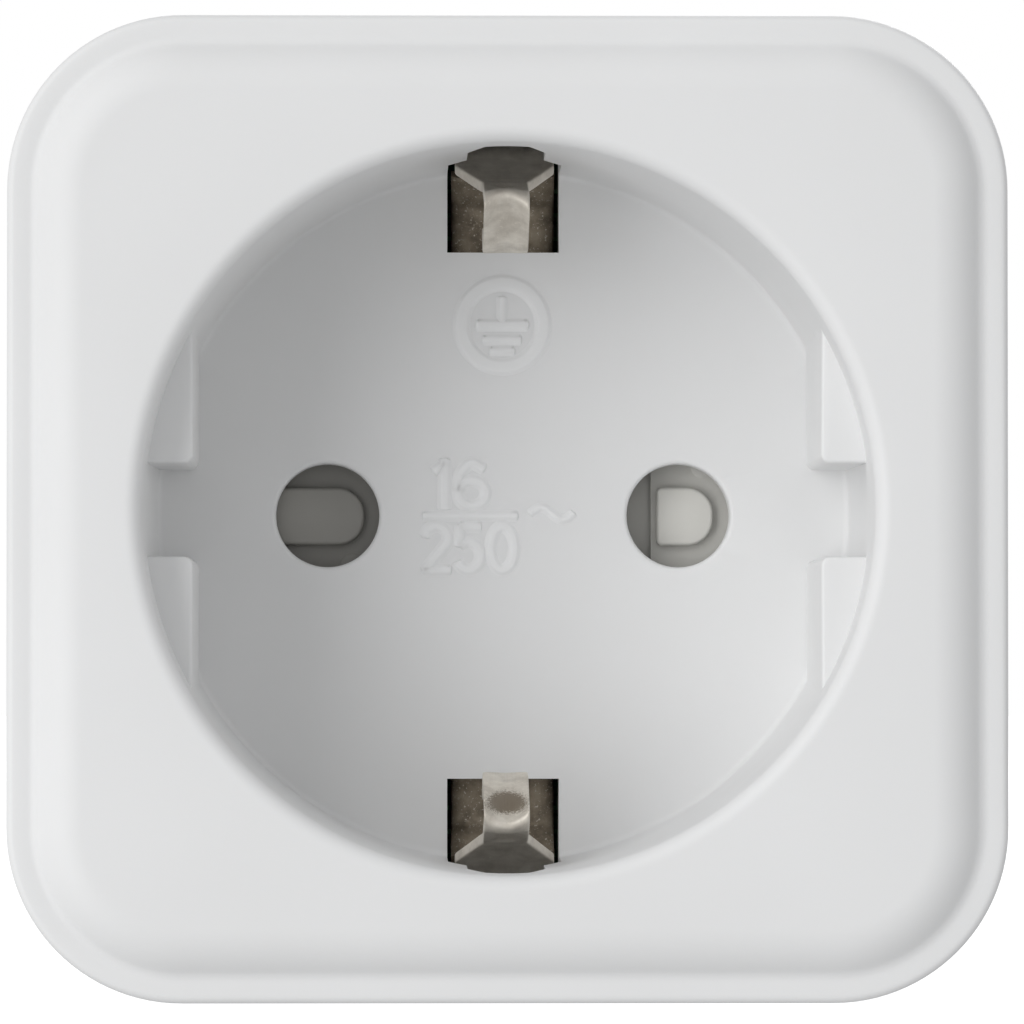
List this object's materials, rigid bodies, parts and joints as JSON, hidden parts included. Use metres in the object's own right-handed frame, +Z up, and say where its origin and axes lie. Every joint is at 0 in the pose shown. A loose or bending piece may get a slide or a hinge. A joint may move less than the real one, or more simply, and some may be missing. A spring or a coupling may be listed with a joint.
{
  "type": "plug-in power meter",
  "caption": "Compact plug-in mains power meter with an earthed socket well in its face, a matching plug on its back, and metering electronics inside.",
  "frame": {"origin": "centre of the plug boss's flat end face, between the two pins", "axes": "+Y the way the pins point, +X to the right seen from the socket side, +Z up"},
  "size_m": [0.052, 0.078, 0.0514],
  "materials": {
    "white_housing": "satin moulded white polycarbonate",
    "button_plastic": "satin moulded white polycarbonate",
    "shutter_plastic": "moulded grey polyamide",
    "dark_plastic": "glass-filled black polyamide",
    "nickelled_strip": "nickel-plated rolled brass strip",
    "nickelled_pin": "nickel-plated turned brass",
    "contact_brass": "rolled brass",
    "shunt_alloy": "manganese-copper resistance strip",
    "circuit_board": "glass-epoxy board with green solder mask",
    "relay_case": "moulded black relay case",
    "capacitor_case": "yellow film-capacitor box",
    "capacitor_sleeve": "shrunk sleeve over an aluminium can",
    "varistor_coating": "dipped blue epoxy",
    "ferrite": "sintered ferrite with varnish",
    "chip_resin": "moulded chip resin",
    "clear_plastic": "clear moulded plastic",
    "shield_steel": "tinned steel sheet",
    "spring_steel": "drawn spring wire",
    "screw_steel": "zinc-plated steel"
  },
  "bodies": {
    "housing": {"front_housing": "white_housing", "rear_housing": "white_housing", "earth_bracket": "nickelled_strip", "contact_carrier": "dark_plastic", "earth_link_upper": "contact_brass", "earth_link_lower": "contact_brass", "line_contact": "contact_brass", "neutral_contact": "contact_brass", "pin_carrier": "dark_plastic", "plug_earth_strip_upper": "nickelled_strip", "plug_earth_strip_lower": "nickelled_strip", "line_pin": "nickelled_pin", "neutral_pin": "nickelled_pin", "earth_pin_socket": "nickelled_strip", "main_board": "circuit_board", "relay": "relay_case", "x_capacitor": "capacitor_case", "bulk_capacitor_1": "capacitor_sleeve", "bulk_capacitor_2": "capacitor_sleeve", "varistor": "varistor_coating", "fuse": "clear_plastic", "inductor": "ferrite", "shunt_resistor": "shunt_alloy", "metering_chip": "chip_resin", "supply_chip": "chip_resin", "board_header": "dark_plastic", "radio_board": "circuit_board", "radio_shield": "shield_steel", "tact_switch": "dark_plastic", "status_led": "clear_plastic", "light_pipe": "clear_plastic", "housing_screw_1": "screw_steel", "housing_screw_2": "screw_steel", "housing_screw_3": "screw_steel", "housing_screw_4": "screw_steel", "shutter_spring": "spring_steel"},
    "shutter": {"shutter": "shutter_plastic"},
    "earth_clip_upper": {"earth_clip_upper": "nickelled_strip"},
    "earth_clip_lower": {"earth_clip_lower": "nickelled_strip"},
    "button": {"button_cap": "button_plastic"},
    "switch_stem": {"tact_switch_stem": "dark_plastic"}
  },
  "joints": [
    {"name": "shutter_slide", "type": "slide", "parent": "housing", "child": "shutter", "axis": [-1, 0, 0], "range_m": [0, 0.0056], "stiffness_N_per_m": 150, "springref_m": -0.002, "deforming": ["shutter_spring"]},
    {"name": "earth_clip_upper_flex", "type": "hinge", "parent": "housing", "child": "earth_clip_upper", "pos_m": [0, -0.0392, 0.0196], "axis": [-1, 0, 0], "range_deg": [0, 8], "stiffness_Nm_per_rad": 1.2},
    {"name": "earth_clip_lower_flex", "type": "hinge", "parent": "housing", "child": "earth_clip_lower", "pos_m": [0, -0.0392, -0.0196], "axis": [1, 0, 0], "range_deg": [0, 8], "stiffness_Nm_per_rad": 1.2},
    {"name": "button_press", "type": "slide", "parent": "housing", "child": "button", "axis": [0, 0, -1], "range_m": [0, 0.0008], "stiffness_N_per_m": 1500},
    {"name": "switch_stem_press", "type": "slide", "parent": "housing", "child": "switch_stem", "axis": [0, 0, -1], "range_m": [0, 0.0008]}
  ],
  "couplings": [
    {"joint": "switch_stem_press", "follows": "button_press", "ratio": 1}
  ]
}
